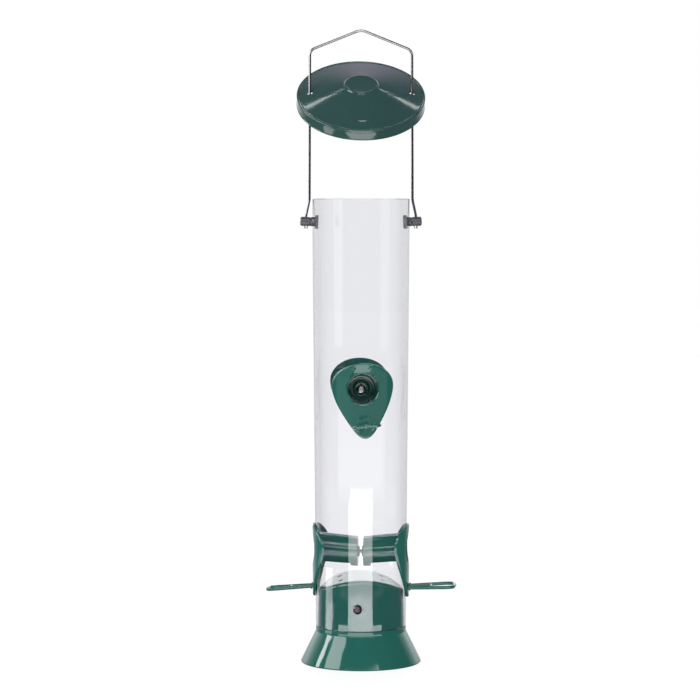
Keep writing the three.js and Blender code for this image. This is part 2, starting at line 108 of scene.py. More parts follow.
def tube_radius(z):
    """Outside radius of the tapered tube at a height."""
    share = (z - TUBE_BOTTOM_Z) / (TUBE_TOP_Z - TUBE_BOTTOM_Z)
    return TUBE_BOTTOM_R + (TUBE_TOP_R - TUBE_BOTTOM_R) * share


# ---- camera -------------------------------------------------------------------------------------

def make_camera():
    """A long lens level with the tube's top and a little to the left of the front port."""
    distance = 1.92
    above_top = 0.4
    turn = math.radians(2.4)
    pitch = math.radians(3.3545)
    yaw = math.radians(-0.243)
    camera = bpy.data.objects.new("camera", bpy.data.cameras.new("camera"))
    bpy.context.scene.collection.objects.link(camera)
    camera.data.sensor_width = 36
    camera.data.lens = 133.2
    camera.data.clip_end = 50
    height = (TUBE_TOP_Z + above_top) * MM
    camera.location = (-distance * math.sin(turn), -distance * math.cos(turn), height)
    camera.rotation_euler = (math.radians(90) - pitch, 0, -turn - yaw)
    bpy.context.scene.camera = camera


# ---- mesh helpers -------------------------------------------------------------------------------

def smoothed(obj, sharp=SHARP):
    """Smooth faces, with creases only at edges sharper than an angle."""
    bm = bmesh.new()
    bm.from_mesh(obj.data)
    bmesh.ops.recalc_face_normals(bm, faces=bm.faces)
    for face in bm.faces:
        face.smooth = True
    for edge in bm.edges:
        edge.smooth = len(edge.link_faces) == 2 and edge.calc_face_angle(0) < sharp
    bm.to_mesh(obj.data)
    bm.free()
    return obj


def piece(name, points, faces, place=Matrix.Identity(4)):
    """A mesh object from millimetre points, moved by a millimetre matrix."""
    mesh = bpy.data.meshes.new(name)
    mesh.from_pydata([tuple((place @ Vector(p)) * MM) for p in points], [], faces)
    obj = bpy.data.objects.new(name, mesh)
    bpy.context.scene.collection.objects.link(obj)
    bm = bmesh.new()
    bm.from_mesh(mesh)
    bmesh.ops.remove_doubles(bm, verts=bm.verts, dist=1e-7)
    bmesh.ops.recalc_face_normals(bm, faces=bm.faces)
    if bm.calc_volume(signed=True) < 0:
        bmesh.ops.reverse_faces(bm, faces=bm.faces)
    bm.to_mesh(mesh)
    bm.free()
    return obj


def applied(obj):
    """The object with its modifiers made real."""
    graph = bpy.context.evaluated_depsgraph_get()
    made = bpy.data.meshes.new_from_object(obj.evaluated_get(graph))
    obj.modifiers.clear()
    obj.data = made
    return obj


def boolean(obj, tool, operation="DIFFERENCE"):
    """Cuts a tool out of the object or joins it on, and removes the tool."""
    modifier = obj.modifiers.new("cut", "BOOLEAN")
    modifier.operation = operation
    modifier.solver = "EXACT"
    modifier.object = tool
    applied(obj)
    bpy.data.objects.remove(tool)
    return obj


def bevelled(obj, width, segments=2, angle=30):
    """Rounds every sharp edge by a width in millimetres."""
    modifier = obj.modifiers.new("round", "BEVEL")
    modifier.width = width * MM
    modifier.segments = segments
    modifier.limit_method = "ANGLE"
    modifier.angle_limit = math.radians(angle)
    modifier.use_clamp_overlap = True
    return applied(obj)


def filleted(corners, steps=5):
    """A line through (x, y, radius) corners, each rounded by an arc of its radius."""
    points = []
    for i, (x, y, radius) in enumerate(corners):
        here = Vector((x, y))
        if radius == 0 or i in (0, len(corners) - 1):
            points.append((x, y))
            continue
        back = (Vector(corners[i - 1][:2]) - here).normalized()
        ahead = (Vector(corners[i + 1][:2]) - here).normalized()
        half = math.acos(max(-1, min(1, back.dot(ahead)))) / 2
        centre = here + (back + ahead).normalized() * (radius / math.sin(half))
        start = here + back * (radius / math.tan(half)) - centre
        end = here + ahead * (radius / math.tan(half)) - centre
        turn = math.atan2(start.x * end.y - start.y * end.x, start.dot(end))
        for k in range(steps + 1):
            spin = Matrix.Rotation(turn * k / steps, 2)
            points.append(tuple(centre + spin @ start))
    return points


def lathe(profile, segments=FINE, closed=False):
    """Points and faces of a body of revolution about Z from (radius, z) points."""
    points, faces = [], []
    for k in range(segments):
        turn = 2 * math.pi * k / segments
        for radius, z in profile:
            points.append((radius * math.cos(turn), radius * math.sin(turn), z))
    count = len(profile)
    for k in range(segments):
        here, there = k * count, (k + 1) % segments * count
        for i in range(count if closed else count - 1):
            j = (i + 1) % count
            faces.append((here + i, there + i, there + j, here + j))
    return points, faces


def clean_lathe(name, profile, segments=FINE, closed=False, place=Matrix.Identity(4)):
    """A mesh object turned from a profile."""
    return piece(name, *lathe(profile, segments, closed), place)


def moved(obj, place):
    """Moves a mesh by a millimetre matrix."""
    obj.data.transform(Matrix.Scale(1 / MM, 4))
    obj.data.transform(place)
    obj.data.transform(Matrix.Scale(MM, 4))


def rod(radius, start, end, segments=32):
    """A plain round rod between two points, for cutting or joining."""
    start, end = Vector(start), Vector(end)
    length = (end - start).length
    spin = (end - start).to_track_quat("Z", "Y").to_matrix().to_4x4()
    place = Matrix.Translation(start) @ spin
    return clean_lathe("rod", [(0, 0), (radius, 0), (radius, length), (0, length)], segments, place=place)


def block(low, high, place=Matrix.Identity(4)):
    """A plain box between two corners, for cutting."""
    corners = [(x, y, z) for x in (low[0], high[0]) for y in (low[1], high[1]) for z in (low[2], high[2])]
    faces = [(0, 1, 3, 2), (4, 6, 7, 5), (0, 4, 5, 1), (2, 3, 7, 6), (0, 2, 6, 4), (1, 5, 7, 3)]
    return piece("block", corners, faces, place)


def sweep(path, radius, sides=20):
    """Points and faces of a round rod along a path, closed at both ends with a small rounding."""
    path = [Vector(p) for p in path]
    tangents = []
    for i in range(len(path)):
        tangents.append((path[min(i + 1, len(path) - 1)] - path[max(i - 1, 0)]).normalized())
    side = tangents[0].orthogonal().normalized()
    rings = []
    for point, tangent in zip(path, tangents):
        side = (side - tangent * side.dot(tangent)).normalized()
        rings.append((point, side.copy(), tangent.cross(side)))
    round_off, end_share = 0.3 * radius, 0.72
    first, last = rings[0], rings[-1]
    ends = [(first[0] - tangents[0] * round_off, first[1], first[2])]
    ends.append((last[0] + tangents[-1] * round_off, last[1], last[2]))
    sizes = [radius * end_share] + [radius] * len(rings) + [radius * end_share]
    points = []
    for (centre, u, v), size in zip([ends[0], *rings, ends[1]], sizes):
        for k in range(sides):
            turn = 2 * math.pi * k / sides
            points.append(centre + (u * math.cos(turn) + v * math.sin(turn)) * size)
    faces = []
    for i in range(len(sizes) - 1):
        for k in range(sides):
            j = (k + 1) % sides
            faces.append((i * sides + k, i * sides + j, (i + 1) * sides + j, (i + 1) * sides + k))
    faces.append(tuple(range(sides)))
    faces.append(tuple(range((len(sizes) - 1) * sides, len(sizes) * sides)))
    return points, faces


def curve_through(points, steps=8):
    """A smooth line through points, by Catmull-Rom spans."""
    points = [Vector(p) for p in points]
    padded = [2 * points[0] - points[1], *points, 2 * points[-1] - points[-2]]
    line = []
    for a, b, c, d in zip(padded, padded[1:], padded[2:], padded[3:]):
        for k in range(steps):
            t = k / steps
            line.append(0.5 * (2 * b + (c - a) * t + (2 * a - 5 * b + 4 * c - d) * t ** 2
                               + (3 * b - a - 3 * c + d) * t ** 3))
    line.append(points[-1])
    return line


def step_between(low, high, value):
    """0 below low, 1 above high, smooth between."""
    share = max(0.0, min(1.0, (value - low) / (high - low)))
    return share * share * (3 - 2 * share)


# ---- materials ----------------------------------------------------------------------------------

class Nodes:
    """The node tree of a material or a world, with short calls to add and join nodes."""

    def __init__(self, owner, output="ShaderNodeOutputMaterial"):
        owner.use_nodes = True
        self.tree = owner.node_tree
        self.tree.nodes.clear()
        self.out = self.add(output)

    def add(self, kind, values=(), **settings):
        """A node with values on its sockets and settings of its own."""
        node = self.tree.nodes.new(kind)
        for key, value in settings.items():
            setattr(node, key, value)
        for socket, value in dict(values).items():
            node.inputs[socket].default_value = value
        return node

    def join(self, source, output, target, socket):
        self.tree.links.new(source.outputs[output], target.inputs[socket])

    def noise(self, scale, stretch=(1, 1, 1), detail=3.0, roughness=0.5):
        """Noise in object space, in lumps of about 1 / scale metres."""
        place = self.add("ShaderNodeTexCoord")
        mapping = self.add("ShaderNodeMapping", {"Scale": stretch})
        self.join(place, "Object", mapping, "Vector")
        noise = self.add("ShaderNodeTexNoise", {"Scale": scale, "Detail": detail, "Roughness": roughness})
        self.join(mapping, "Vector", noise, "Vector")
        return noise

    def ranged(self, source, output, low, high):
        """A 0 to 1 output spread from low to high."""
        node = self.add("ShaderNodeMapRange", {1: 0.0, 2: 1.0, 3: low, 4: high})
        self.join(source, output, node, 0)
        return node

    def tinted(self, source, output, low, high):
        """A 0 to 1 output turned into a mix of two colours."""
        ramp = self.add("ShaderNodeValToRGB")
        ramp.color_ramp.elements[0].color = (*low, 1)
        ramp.color_ramp.elements[0].position = 0.3
        ramp.color_ramp.elements[1].color = (*high, 1)
        ramp.color_ramp.elements[1].position = 0.7
        self.join(source, output, ramp, "Fac")
        return ramp

    def bump(self, source, output, strength, height, before=None):
        """A bump of a height in metres, on top of the bump before it."""
        node = self.add("ShaderNodeBump", {"Strength": strength, "Distance": height})
        self.join(source, output, node, "Height")
        if before is not None:
            self.join(before, "Normal", node, "Normal")
        return node


def enamel(name, low, high, rough=(0.05, 0.09)):
    """Gloss enamel on a casting: slight orange peel, a soft waviness and a clear top."""
    material = bpy.data.materials.new(name)
    n = Nodes(material)
    shader = n.add("ShaderNodeBsdfPrincipled", {"IOR": 1.5, "Coat Weight": 0.25, "Coat Roughness": 0.05})
    n.join(n.tinted(n.noise(14, detail=4), "Fac", low, high), "Color", shader, "Base Color")
    n.join(n.ranged(n.noise(60), "Fac", *rough), "Result", shader, "Roughness")
    peel = n.bump(n.noise(900, detail=2), "Fac", 0.25, 0.00002)
    wave = n.bump(n.noise(75, detail=1), "Fac", 0.35, 0.00025, peel)
    n.join(wave, "Normal", shader, "Normal")
    n.join(shader, "BSDF", n.out, "Surface")
    return material


def metal(name, low, high, rough, scratch=0.15):
    """Bare or plated metal, a little uneven in colour and gloss."""
    material = bpy.data.materials.new(name)
    n = Nodes(material)
    shader = n.add("ShaderNodeBsdfPrincipled", {"Metallic": 1.0})
    n.join(n.tinted(n.noise(220, detail=4), "Fac", low, high), "Color", shader, "Base Color")
    n.join(n.ranged(n.noise(500, detail=5), "Fac", *rough), "Result", shader, "Roughness")
    n.join(n.bump(n.noise(1800), "Fac", scratch, 0.00003), "Normal", shader, "Normal")
    n.join(shader, "BSDF", n.out, "Surface")
    return material


def moulded_plastic(name, low, high):
    """Satin moulded plastic with a fine even grain."""
    material = bpy.data.materials.new(name)
    n = Nodes(material)
    shader = n.add("ShaderNodeBsdfPrincipled", {"IOR": 1.5})
    n.join(n.tinted(n.noise(160), "Fac", low, high), "Color", shader, "Base Color")
    n.join(n.ranged(n.noise(400), "Fac", 0.32, 0.45), "Result", shader, "Roughness")
    n.join(n.bump(n.noise(2600, detail=2), "Fac", 0.3, 0.00003), "Normal", shader, "Normal")
    n.join(shader, "BSDF", n.out, "Surface")
    return material


def clear_plastic(name):
    """Clear drawn tube: long faint lines, and lamps shine through it to the ports inside."""
    material = bpy.data.materials.new(name)
    n = Nodes(material)
    shader = n.add("ShaderNodeBsdfPrincipled", {
        "Base Color": (0.962, 0.965, 0.978, 1), "IOR": 1.49, "Roughness": 0.02,
        "Transmission Weight": 1.0})
    lines = n.noise(120, stretch=(1, 1, 0.01), detail=2)
    n.join(n.bump(lines, "Fac", 0.08, 0.0002), "Normal", shader, "Normal")
    path = n.add("ShaderNodeLightPath")
    lit = n.add("ShaderNodeMath", operation="MAXIMUM")
    n.join(path, "Is Shadow Ray", lit, 0)
    n.join(path, "Is Diffuse Ray", lit, 1)
    through = n.add("ShaderNodeBsdfTransparent", {"Color": (0.93, 0.935, 0.945, 1)})
    mix = n.add("ShaderNodeMixShader")
    n.join(lit, 0, mix, 0)
    n.join(shader, "BSDF", mix, 1)
    n.join(through, "BSDF", mix, 2)
    n.join(mix, "Shader", n.out, "Surface")
    return material


GREEN = enamel("green_enamel", (0.012, 0.108, 0.086), (0.016, 0.124, 0.099))
LID_GREEN = enamel("lid_enamel", (0.024, 0.067, 0.062), (0.029, 0.079, 0.072), (0.08, 0.12))
WIRE = metal("drawn_wire", (0.26, 0.26, 0.265), (0.32, 0.32, 0.33), (0.09, 0.13), scratch=0.01)
ZINC = metal("zinc_screw", (0.50, 0.50, 0.50), (0.66, 0.66, 0.65), (0.2, 0.34))
DARK_SCREW = metal("dark_screw_metal", (0.05, 0.042, 0.048), (0.13, 0.11, 0.12), (0.22, 0.38))
GREY = moulded_plastic("grey_peg_plastic", (0.050, 0.050, 0.062), (0.075, 0.075, 0.092))
CLEAR = clear_plastic("clear_tube_plastic")


def placed(obj, material, body, slot, *nodes):
    """Gives a finished piece its material and body, and hides the CAD nodes that it stands for. The slot is
    not used.
    """
    obj.data.materials.clear()
    obj.data.materials.append(material)
    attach(obj, body)
    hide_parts(*nodes)
    return obj


# ---- the tube -----------------------------------------------------------------------------------

BEYOND = 60  # past the tube on either side
LOWER_AZIMUTH = math.radians(90 + LOWER_TURN)
HOLE_R = 11.3
HOOD_R = 12.1
HOOD_CLEAR = 0.4
HOOD_TAPER = 0.9
HOOD_DROOP = 2.4
END_SPACE = 4.2
END_WALL = 1.6
WALL_FACE = END_SPACE / 2 + END_WALL + GAP
PEG_R = 3.4
SCREW_SHANK_R = 1.5
BASE_SCREW_TURN = math.radians(-6.5)
BASE_SCREW_Z = LEDGE_Z + 16.9


def radial(turn, radius, z):
    """The point at a turn from the front, positive towards +X."""
    return Vector((radius * math.sin(turn), -radius * math.cos(turn), z))


def rod_across(radius, turn, z, segments):
    """A rod right through the tube's axis at a turn and a height, for cutting."""
    return rod(radius, radial(turn, -BEYOND, z), radial(turn, BEYOND, z), segments)


def make_tube():
    """Long tapered tube with polished, slightly rounded edges and the holes for what passes through."""
    edge = 0.35
    levels = 48
    outside = []
    for k in range(levels + 1):
        z = TUBE_BOTTOM_Z + edge + (TUBE_TOP_Z - TUBE_BOTTOM_Z - 2 * edge) * k / levels
        outside.append((tube_radius(z), z))
    inside = [(radius - TUBE_WALL, z) for radius, z in reversed(outside)]
    top, bottom = tube_radius(TUBE_TOP_Z), tube_radius(TUBE_BOTTOM_Z)
    rim = [(top - edge, TUBE_TOP_Z), (top - TUBE_WALL + edge, TUBE_TOP_Z)]
    foot = [(bottom - TUBE_WALL + edge, TUBE_BOTTOM_Z), (bottom - edge, TUBE_BOTTOM_Z)]
    tube = clean_lathe("tube_clear", [*outside, *rim, *inside, *foot], closed=True)
    boolean(tube, rod_across(HOOD_R + HOOD_CLEAR, 0, UPPER_HOLE_Z, 64))
    boolean(tube, rod_across(HOOD_R + HOOD_CLEAR, LOWER_AZIMUTH, LOWER_HOLE_Z, 64))
    boolean(tube, rod_across(PEG_R + GAP, math.radians(90), PEG_Z, 32))
    boolean(tube, rod_across(SCREW_SHANK_R + GAP, BASE_SCREW_TURN, BASE_SCREW_Z, 24))
    smoothed(tube)
    walls_shade_round(tube, tube_radius, TUBE_WALL)
    placed(tube, CLEAR, "root", "clear_tube", "tube")


def walls_shade_round(obj, radius_at, wall):
    """Custom normals that follow the true round walls, so that cut faces shade without marks."""
    mesh = obj.data
    normals = [Vector(loop.normal) for loop in mesh.loops]
    for face in mesh.polygons:
        for index in face.loop_indices:
            point = mesh.vertices[mesh.loops[index].vertex_index].co / MM
            flat = Vector((point.x, point.y, 0))
            outward = flat.normalized()
            side = face.normal.dot(outward)
            if abs(side) < 0.9:
                continue
            on_outside = abs(flat.length - radius_at(point.z)) < wall / 4
            on_inside = abs(flat.length - radius_at(point.z) + wall) < wall / 4
            if on_outside or on_inside:
                normals[index] = outward if side > 0 else -outward
    mesh.normals_split_custom_set(normals)


# ---- the base -----------------------------------------------------------------------------------

PLUG_R = TUBE_BOTTOM_R - TUBE_WALL - GAP
PLUG_DRAFT = 0.68
PLUG_TOP_R = PLUG_R - PLUG_DRAFT
PLUG_JOIN_Z = LEDGE_Z + 4
PLUG_SHOULDER = 3.0
CROWN = 10.4
RAMP_R = (PLUG_R ** 2 + CROWN ** 2) / (2 * CROWN)
BASE_WALL = 2.0
LEDGE_R = TUBE_BOTTOM_R + 0.1
NECK_R = LEDGE_R - 0.06
NECK_Z = LEDGE_Z - 3.4
DRAIN_R = 1.85
DRAIN_X = 15.5
DRAIN_Y = 11


def ramp_height(x, ridge):
    """Height of the barrel-shaped ramp, whose ridge runs front to back."""
    return ridge - RAMP_R + math.sqrt(RAMP_R ** 2 - x ** 2)


def base_section(turn, ridge, inset, shoulder):
    """Side and top of the plug at one turn: up the wall, round the shoulder, in to the middle."""
    top_r = PLUG_TOP_R - inset
    low_r = PLUG_R - inset
    crown_r = top_r - shoulder * 2
    edge_z = ramp_height(top_r * math.sin(turn), ridge)
    crown_z = ramp_height(crown_r * math.sin(turn), ridge)
    return filleted([(low_r, PLUG_JOIN_Z, 0), (top_r, edge_z, shoulder), (crown_r, crown_z, 0)], 7)


def base_surface(ridge, inset, shoulder, rings=9):
    """Rings of points from the wall to the middle, one list per turn."""
    columns = []
    for k in range(FINE):
        turn = 2 * math.pi * k / FINE
        section = base_section(turn, ridge, inset, shoulder)
        last_r = section[-1][0]
        for i in range(1, rings):
            radius = last_r * (1 - i / rings)
            section.append((radius, ramp_height(radius * math.sin(turn), ridge)))
        columns.append([radial(turn, r, z) for r, z in section])
    return columns


def make_base():
    """Flared skirt and hollow plug in one casting, with a soft-shouldered ramp and four drains."""
    skirt = filleted([
        (SKIRT_R - BASE_WALL, 0, 0),
        (SKIRT_R, 0, 0.7),
        (NECK_R, NECK_Z, 2.2),
        (LEDGE_R, LEDGE_Z, 0.3),
        (PLUG_R, LEDGE_Z, 0.3),
        (PLUG_R, PLUG_JOIN_Z, 0),
    ], 6)
    inner = filleted([
        (SKIRT_R - BASE_WALL, 0, 0),
        (SKIRT_R - BASE_WALL - 0.6, 1.6, 0.6),
        (PLUG_R - BASE_WALL, LEDGE_Z - BASE_WALL * 1.5, 3.0),
        (PLUG_R - BASE_WALL, PLUG_JOIN_Z, 0),
    ], 5)
    outer_top = base_surface(RIDGE_Z, 0, PLUG_SHOULDER)
    inner_top = base_surface(RIDGE_Z - BASE_WALL, BASE_WALL, PLUG_SHOULDER / 2)
    points, faces = [], []
    for k in range(FINE):
        turn = 2 * math.pi * k / FINE
        hollow = [radial(turn, r, z) for r, z in reversed(inner[1:-1])]
        flare = [radial(turn, r, z) for r, z in skirt[:-1]]
        points += [*reversed(inner_top[k]), *hollow, *flare, *outer_top[k]]
    length = len(points) // FINE
    for k in range(FINE):
        here, there = k * length, (k + 1) % FINE * length
        for i in range(length - 1):
            faces.append((here + i, there + i, there + i + 1, here + i + 1))
    inner_middle, outer_middle = len(points), len(points) + 1
    points += [(0, 0, RIDGE_Z - BASE_WALL), (0, 0, RIDGE_Z)]
    for k in range(FINE):
        here, there = k * length, (k + 1) % FINE * length
        faces.append((inner_middle, there, here))
        faces.append((outer_middle, here + length - 1, there + length - 1))
    base = piece("base_casting", points, faces)
    for x in (-DRAIN_X, DRAIN_X):
        for y in (-DRAIN_Y, DRAIN_Y):
            boolean(base, rod(DRAIN_R, (x, y, PLUG_JOIN_Z), (x, y, RIDGE_Z + 5), 28))
    boolean(base, rod_across(SCREW_SHANK_R + GAP, BASE_SCREW_TURN, BASE_SCREW_Z, 24))
    smoothed(base)
    placed(base, GREEN, "root", "green_paint", "base")


# ---- screws and nuts ----------------------------------------------------------------------------

# head radius, head height, shank radius and length
BASE_SCREW = (3.35, 2.1, SCREW_SHANK_R, 6.5)
TIE_SCREW = (3.4, 2.2, 1.3, 2 * WALL_FACE + 3.9)
THREAD_PITCH = 0.7
THREAD_DEPTH = 0.12
NUT_HEIGHT = 2.4
NUT_ACROSS = 5.37
NUT_CORNER_R = 3.1
NUT_BORE_R = 1.6


def make_screw(node, size, place, material, slot):
    """Pan head with a cross recess on a threaded shank. Its head points to -Z before it is placed."""
    head_r, head_h, shank_r, length = size
    profile = filleted([
        (0, -head_h, 0), (head_r * 0.55, -head_h, head_r * 0.5), (head_r, -head_h * 0.42, head_h * 0.3),
        (head_r, 0, 0.12), (shank_r, 0, 0),
    ], 6)
    for k in range(int((length - 1) / THREAD_PITCH)):
        z = 0.4 + k * THREAD_PITCH
        profile += [(shank_r - THREAD_DEPTH, z), (shank_r, z + THREAD_PITCH / 2)]
    profile += [(shank_r - 0.4, length), (0, length)]
    screw = clean_lathe(f"{node}_fine", profile, 40)
    arm, arm_half, depth = head_r * 0.52, head_r * 0.11, head_h * 0.55
    for spin in (0, math.pi / 2):
        turned = Matrix.Rotation(spin, 4, "Z")
        boolean(screw, block((-arm, -arm_half, -head_h - 1), (arm, arm_half, depth - head_h), turned))
    moved(screw, place)
    smoothed(screw)
    placed(screw, material, "root", slot, node)


def pointing(turn, start, z, spin):
    """Place whose +Z runs inwards to the tube's axis from a turn, starting at a radius."""
    inwards = -radial(turn, 1, 0)
    turned = inwards.to_track_quat("Z", "Y").to_matrix().to_4x4() @ Matrix.Rotation(spin, 4, "Z")
    return Matrix.Translation(radial(turn, start, z)) @ turned


def make_screws_and_nuts():
    """Two screws through the tube into the base, and a screw and a nut through each pair of ports."""
    for name, turn in (("front", BASE_SCREW_TURN), ("rear", BASE_SCREW_TURN + math.pi)):
        place = pointing(turn, tube_radius(BASE_SCREW_Z) + GAP, BASE_SCREW_Z, 0.35)
        make_screw(f"base_screw_{name}", BASE_SCREW, place, DARK_SCREW, "dark_screw")
    for name, turn, hole_z in (("upper", 0, UPPER_HOLE_Z), ("lower", LOWER_AZIMUTH, LOWER_HOLE_Z)):
        z = hole_z - HOOD_DROOP
        make_screw(f"tie_screw_{name}", TIE_SCREW, pointing(turn, WALL_FACE, z, 0.6), ZINC, "bright_screw")
        make_nut(f"tie_nut_{name}", turn, z)


def make_nut(node, turn, z):
    """Hexagon nut with chamfered corners and a plain bore, at the far end of a tie screw."""
    face_r, chamfer = NUT_CORNER_R - 0.2, 0.45
    profile = filleted([
        (NUT_BORE_R, 0, 0), (face_r, 0, 0.5), (NUT_CORNER_R, chamfer, 0),
        (NUT_CORNER_R, NUT_HEIGHT - chamfer, 0), (face_r, NUT_HEIGHT, 0.5), (NUT_BORE_R, NUT_HEIGHT, 0),
    ], 3)
    nut = clean_lathe(f"{node}_fine", profile, 60, closed=True)
    for k in range(6):
        spin = Matrix.Rotation(math.radians(60 * k), 4, "Z")
        boolean(nut, block((NUT_ACROSS / 2, -4, -1), (NUT_ACROSS, 4, NUT_HEIGHT + 1), spin))
    moved(nut, pointing(turn + math.pi, WALL_FACE + NUT_HEIGHT, z, 0.2))
    smoothed(nut, math.radians(20))
    placed(nut, ZINC, "root", "bright_screw", node)


# ---- ports and perches --------------------------------------------------------------------------

SHIELD_T = 1.8
SHIELD_UP = 18.7
SHIELD_DOWN = 36.4
SHIELD_W = 22.6
HOOD_CUT = 8.5
PERCH_REACH = 35.4
PERCH_ROOT = 5.2
PERCH_WIDE = 9.2
PERCH_ROD = 1.3
PERCH_BAR = 16.6
PERCH_CLEAR = 0.25
COLLAR_R = 2.1
COLLAR_H = 1.1


def bezier(a, b, c, d, steps):
    """Points on a cubic curve, without its last."""
    line = []
    for k in range(steps):
        t = k / steps
        s = 1 - t
        line.append(tuple(s ** 3 * p + 3 * s * s * t * q + 3 * s * t * t * r + t ** 3 * e
                          for p, q, r, e in zip(a, b, c, d)))
    return line


def shield_outline(steps=44):
    """Teardrop about the hole's middle, clockwise from the top, seen from outside."""
    w, up, down = SHIELD_W, SHIELD_UP, -SHIELD_DOWN
    right = bezier((0, up), (0.57 * w, up), (0.99 * w, 0.63 * up), (w, 0.14 * up), steps)
    right += bezier((w, 0.14 * up), (w, 0.21 * down), (0.64 * w, 0.58 * down), (0.37 * w, 0.83 * down), steps)
    right += bezier((0.37 * w, 0.83 * down), (0.25 * w, 0.94 * down), (0.12 * w, down), (0, down), steps // 2)
    left = [(-x, z) for x, z in reversed(right[1:])]
    return right + [(0, down)] + left


def channel_depth(x, z):
    """How far the channel above the hole sinks into the shield, deeper towards the hole."""
    rise, neck, flare = 4.4, SHIELD_UP - 2.6, 1.9
    foot_half, neck_half, top_half = 11.7, 4.6, 7.5
    if z < 0:
        return 0.0
    if z < neck:
        half = foot_half + (neck_half - foot_half) * max(0, z - rise) / (neck - rise)
    else:
        half = neck_half + (top_half - neck_half) * min(1, (z - neck) / flare)
    depth = min(1.45, 0.2 + 0.18 * (SHIELD_UP - z))
    return depth * step_between(-0.3, 0.3, half - abs(x))


def make_shield(port):
    """Shield of even thickness wrapped on the tube, soft at its outline, dished round its hole."""
    outline = shield_outline()
    hole = HOLE_R - 0.15
    soft = 1.0
    shares = [0, 0.012, 0.03, 0.05, 0.075, 0.10, 0.13, 0.16, 0.20, 0.26, 0.33, 0.41, 0.5, 0.59, 0.68, 0.76,
              0.83, 0.88, 0.915, 0.94, 0.96, 0.975, 0.987, 0.995, 1.0]
    roll = Matrix.Rotation(math.radians(port["roll"]), 3, "Y")
    outer, inner = [], []
    for x1, z1 in outline:
        length = math.hypot(x1, z1)
        ux, uz = x1 / length, z1 / length
        outer_line, inner_line = [], []
        for share in shares:
            r = hole + (length - hole) * share
            x, z = ux * r, uz * r
            edge = length - r
            height = SHIELD_T
            if edge < soft:
                height -= soft - math.sqrt(max(0, soft ** 2 - (soft - edge) ** 2))
            bevel = step_between(HOLE_R + 0.9, hole, r)
            height -= 0.7 * bevel
            height = max(0.45, height - channel_depth(x, z) * (1 - 0.5 * bevel))
            turned = roll @ Vector((x, 0, z))
            level = port["hole_z"] + turned.z
            base_r = tube_radius(level) + GAP
            outer_line.append((turned.x, -math.sqrt((base_r + height) ** 2 - turned.x ** 2), level))
            inner_line.append((turned.x, -math.sqrt(base_r ** 2 - turned.x ** 2), level))
        outer.append(outer_line)
        inner.append(inner_line)
    points, faces = [], []
    for a, b in zip(outer, inner):
        points += [*a, *reversed(b)]
    ring = 2 * len(shares)
    total = len(outline)
    for k in range(total):
        here, there = k * ring, (k + 1) % total * ring
        for i in range(ring):
            j = (i + 1) % ring
            faces.append((here + i, there + i, there + j, here + j))
    return piece(f"port_{port['name']}_fine", points, faces)


def make_hood(port):
    """Round hood from the shield in to its end wall, open below, drooping towards the middle."""
    wall_r = tube_radius(port["hole_z"])
    mid_r = wall_r + GAP + 0.7
    near, end = -mid_r, -END_SPACE / 2
    outer = filleted([(HOLE_R, near, 0), (HOOD_R, near, 0), (HOOD_R, end, 0.5), (4.3, end, 0.3),
                      (3.9, end + 1.4, 0.3), (1.6, end + 1.4, 0)], 4)
    inside = end - END_WALL
    inner = filleted([(1.6, end + 1.4, 0), (1.6, inside, 0), (4.3, inside, 0.15), (4.3, inside - 0.9, 0.2),
                      (5.3, inside - 0.9, 0.25), (5.5, inside, 0.3), (8.2, inside, 0.2),
                      (8.7, inside - 0.8, 0.3), (HOLE_R, inside - 0.8, 0.8), (HOLE_R, near, 0)], 3)
    spin = Matrix.Rotation(math.radians(-90), 4, "X")
    hood = clean_lathe("hood", outer + inner[1:-1], 96, closed=True, place=spin)
    for vertex in hood.data.vertices:
        x, y, z = vertex.co / MM
        radius = math.hypot(x, z)
        if radius > HOLE_R * 0.8:
            narrow = 1 - HOOD_TAPER * (y - near) / (end - near) / radius
            vertex.co.x *= narrow
            vertex.co.z *= narrow
        if abs(y - near) < 0.01:
            vertex.co.y = -math.sqrt(mid_r ** 2 - x ** 2) * MM
    collar, band = -wall_r + TUBE_WALL + 4.0, end - 5.2
    boolean(hood, block((-15, collar, -18), (15, band, -HOOD_CUT)))
    bevelled(hood, 0.22)
    droop = -HOOD_DROOP / (wall_r + end)
    roll = Matrix.Rotation(math.radians(port["roll"]), 4, "Y")
    for vertex in hood.data.vertices:
        turned = roll @ vertex.co
        turned.z += (droop * (turned.y / MM + wall_r) + port["hole_z"]) * MM
        vertex.co = turned
    return hood


def root_place(port):
    """Where the middle of a perch's root is, below the hole's middle."""
    below = SHIELD_DOWN - 7.6
    roll = math.radians(port["roll"])
    return -below * math.sin(roll), port["hole_z"] - below * math.cos(roll)


def face_radius(z):
    """Radius of a shield's outer face at a height."""
    return tube_radius(z) + GAP + SHIELD_T


def perch_turn(port):
    """A perch's small turn about its own length and its lift from level."""
    lift = Matrix.Rotation(math.radians(-port["lift"]), 4, "X")
    return lift @ Matrix.Rotation(math.radians(port["perch_roll"]), 4, "Y")


def make_port(port):
    """Shield and hood in one casting, with two holes for the perch's legs."""
    shield = make_shield(port)
    boolean(shield, make_hood(port), "UNION")
    across, root_z = root_place(port)
    place = Matrix.Translation((across, -face_radius(root_z), root_z)) @ perch_turn(port)
    for side in (-1, 1):
        start = place @ Vector((side * PERCH_ROOT, -6, 0))
        end = place @ Vector((side * PERCH_ROOT, 12, 0))
        boolean(shield, rod(PERCH_ROD + PERCH_CLEAR, start, end, 28))
    shield.data.transform(Matrix.Rotation(math.radians(port["azimuth"]), 4, "Z"))
    smoothed(shield)
    placed(shield, GREEN, "root", "green_paint", f"port_{port['name']}")


